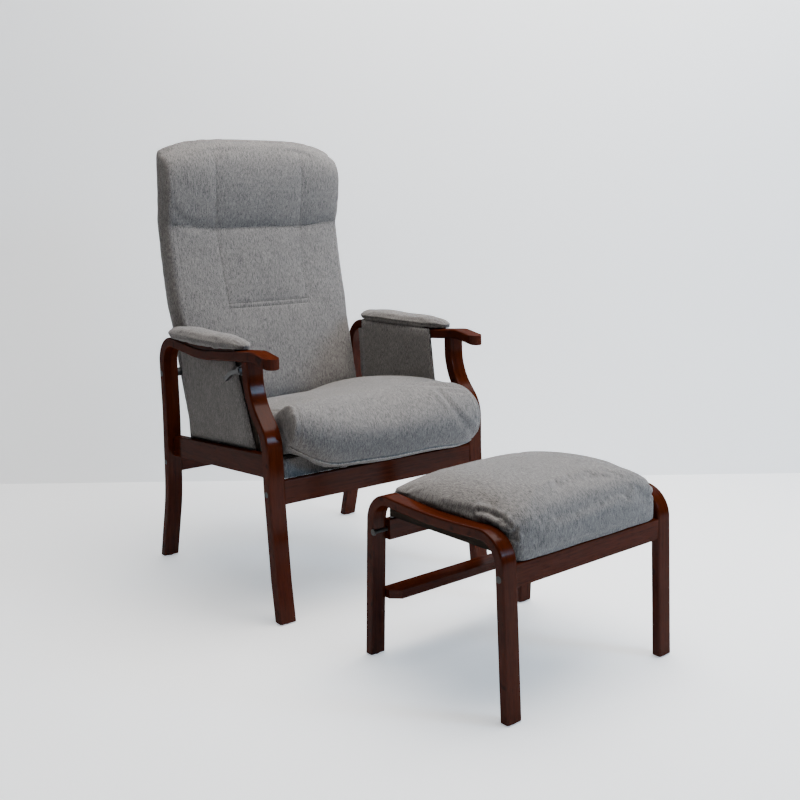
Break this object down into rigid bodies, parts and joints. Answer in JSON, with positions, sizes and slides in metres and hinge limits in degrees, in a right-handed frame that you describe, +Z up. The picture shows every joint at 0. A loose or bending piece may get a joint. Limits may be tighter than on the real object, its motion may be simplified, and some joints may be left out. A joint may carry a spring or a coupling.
{
  "type": "reclining armchair with footstool",
  "caption": "Reclining armchair with a bent, lacquered wood frame, tall upholstered back, padded arms and side panels, and a matching upholstered footstool.",
  "frame": {"origin": "on the floor, midway between the front and rear ends and between the sides of the whole set", "axes": "+X to the sitter's left, +Y from the footstool towards the backrest, +Z up"},
  "size_m": [0.6824, 1.3674, 1.134],
  "materials": {
    "lacquered_wood": "dark cherry stain under glossy clear lacquer",
    "plain_wood": "plain, unlacquered",
    "grey_fabric": "woven, mottled grey",
    "webbing": "elastic webbing",
    "zinc_steel": "zinc plated",
    "dark_steel": "blackened",
    "black_plastic": "fine-grained black",
    "glide_plastic": "nylon, matt"
  },
  "bodies": {
    "chair_frame": {"arm_and_rear_leg_left": "lacquered_wood", "arm_and_rear_leg_right": "lacquered_wood", "front_leg_left": "lacquered_wood", "front_leg_right": "lacquered_wood", "side_rail_left": "lacquered_wood", "side_rail_right": "lacquered_wood", "front_rail": "lacquered_wood", "rear_rail": "lacquered_wood", "frame_bolts": "dark_steel", "foot_glides": "glide_plastic", "arm_pad_left": "grey_fabric", "arm_pad_right": "grey_fabric", "arm_pad_blocks": "plain_wood", "arm_pad_screws": "zinc_steel", "side_board_left": "plain_wood", "side_board_right": "plain_wood", "inner_side_panel_left": "grey_fabric", "inner_side_panel_right": "grey_fabric", "outer_side_panel_left": "grey_fabric", "outer_side_panel_right": "grey_fabric", "pivot_bolts": "dark_steel", "pivot_spacers": "black_plastic", "slide_channels": "black_plastic", "gas_spring_cylinder": "zinc_steel", "gas_spring_front_bracket": "zinc_steel", "gas_spring_front_pin": "zinc_steel", "lever_housing": "black_plastic"},
    "seat": {"seat_front_member": "plain_wood", "seat_side_member_left": "plain_wood", "seat_side_member_right": "plain_wood", "seat_rear_member": "plain_wood", "seat_straps": "webbing", "seat_base_cover": "grey_fabric", "seat_cushion": "grey_fabric", "slide_tongues": "plain_wood", "seat_link_pins": "zinc_steel", "gas_spring_rod": "zinc_steel", "gas_spring_rear_bracket": "zinc_steel", "gas_spring_rear_pin": "zinc_steel"},
    "backrest": {"back_side_member_left": "plain_wood", "back_side_member_right": "plain_wood", "back_low_member": "plain_wood", "back_top_member": "plain_wood", "back_straps": "webbing", "back_brackets": "zinc_steel", "back_cushion": "grey_fabric", "head_cushion": "grey_fabric", "back_rear_cover": "grey_fabric"},
    "lever": {"release_lever": "black_plastic"},
    "footstool": {"stool_side_frame_left": "lacquered_wood", "stool_side_frame_right": "lacquered_wood", "stool_front_rail": "lacquered_wood", "stool_rear_rail": "lacquered_wood", "stool_stretcher": "lacquered_wood", "stool_battens": "lacquered_wood", "stool_deck": "plain_wood", "stool_cushion": "grey_fabric", "stool_bolts": "dark_steel", "stool_glides": "glide_plastic"}
  },
  "joints": [
    {"name": "back_recline", "type": "hinge", "parent": "chair_frame", "child": "backrest", "pos_m": [0, 0.58602, 0.526], "axis": [-1, 0, 0], "range_deg": [0, 18]},
    {"name": "seat_slide", "type": "slide", "parent": "chair_frame", "child": "seat", "axis": [0, -0.9971, 0.0758], "range_m": [0, 0.0697]},
    {"name": "lever_pull", "type": "hinge", "parent": "chair_frame", "child": "lever", "pos_m": [-0.2954, 0.19202, 0.577], "axis": [1, 0, 0], "range_deg": [0, 15], "stiffness_Nm_per_rad": 0.3, "springref_deg": -9.74},
    {"name": "footstool_push", "type": "slide", "parent": "chair_frame", "child": "footstool", "axis": [0, 1, 0], "range_m": [-0.3, 0.05]}
  ],
  "couplings": [
    {"joint": "seat_slide", "follows": "back_recline", "m_per_rad": 0.22151}
  ]
}
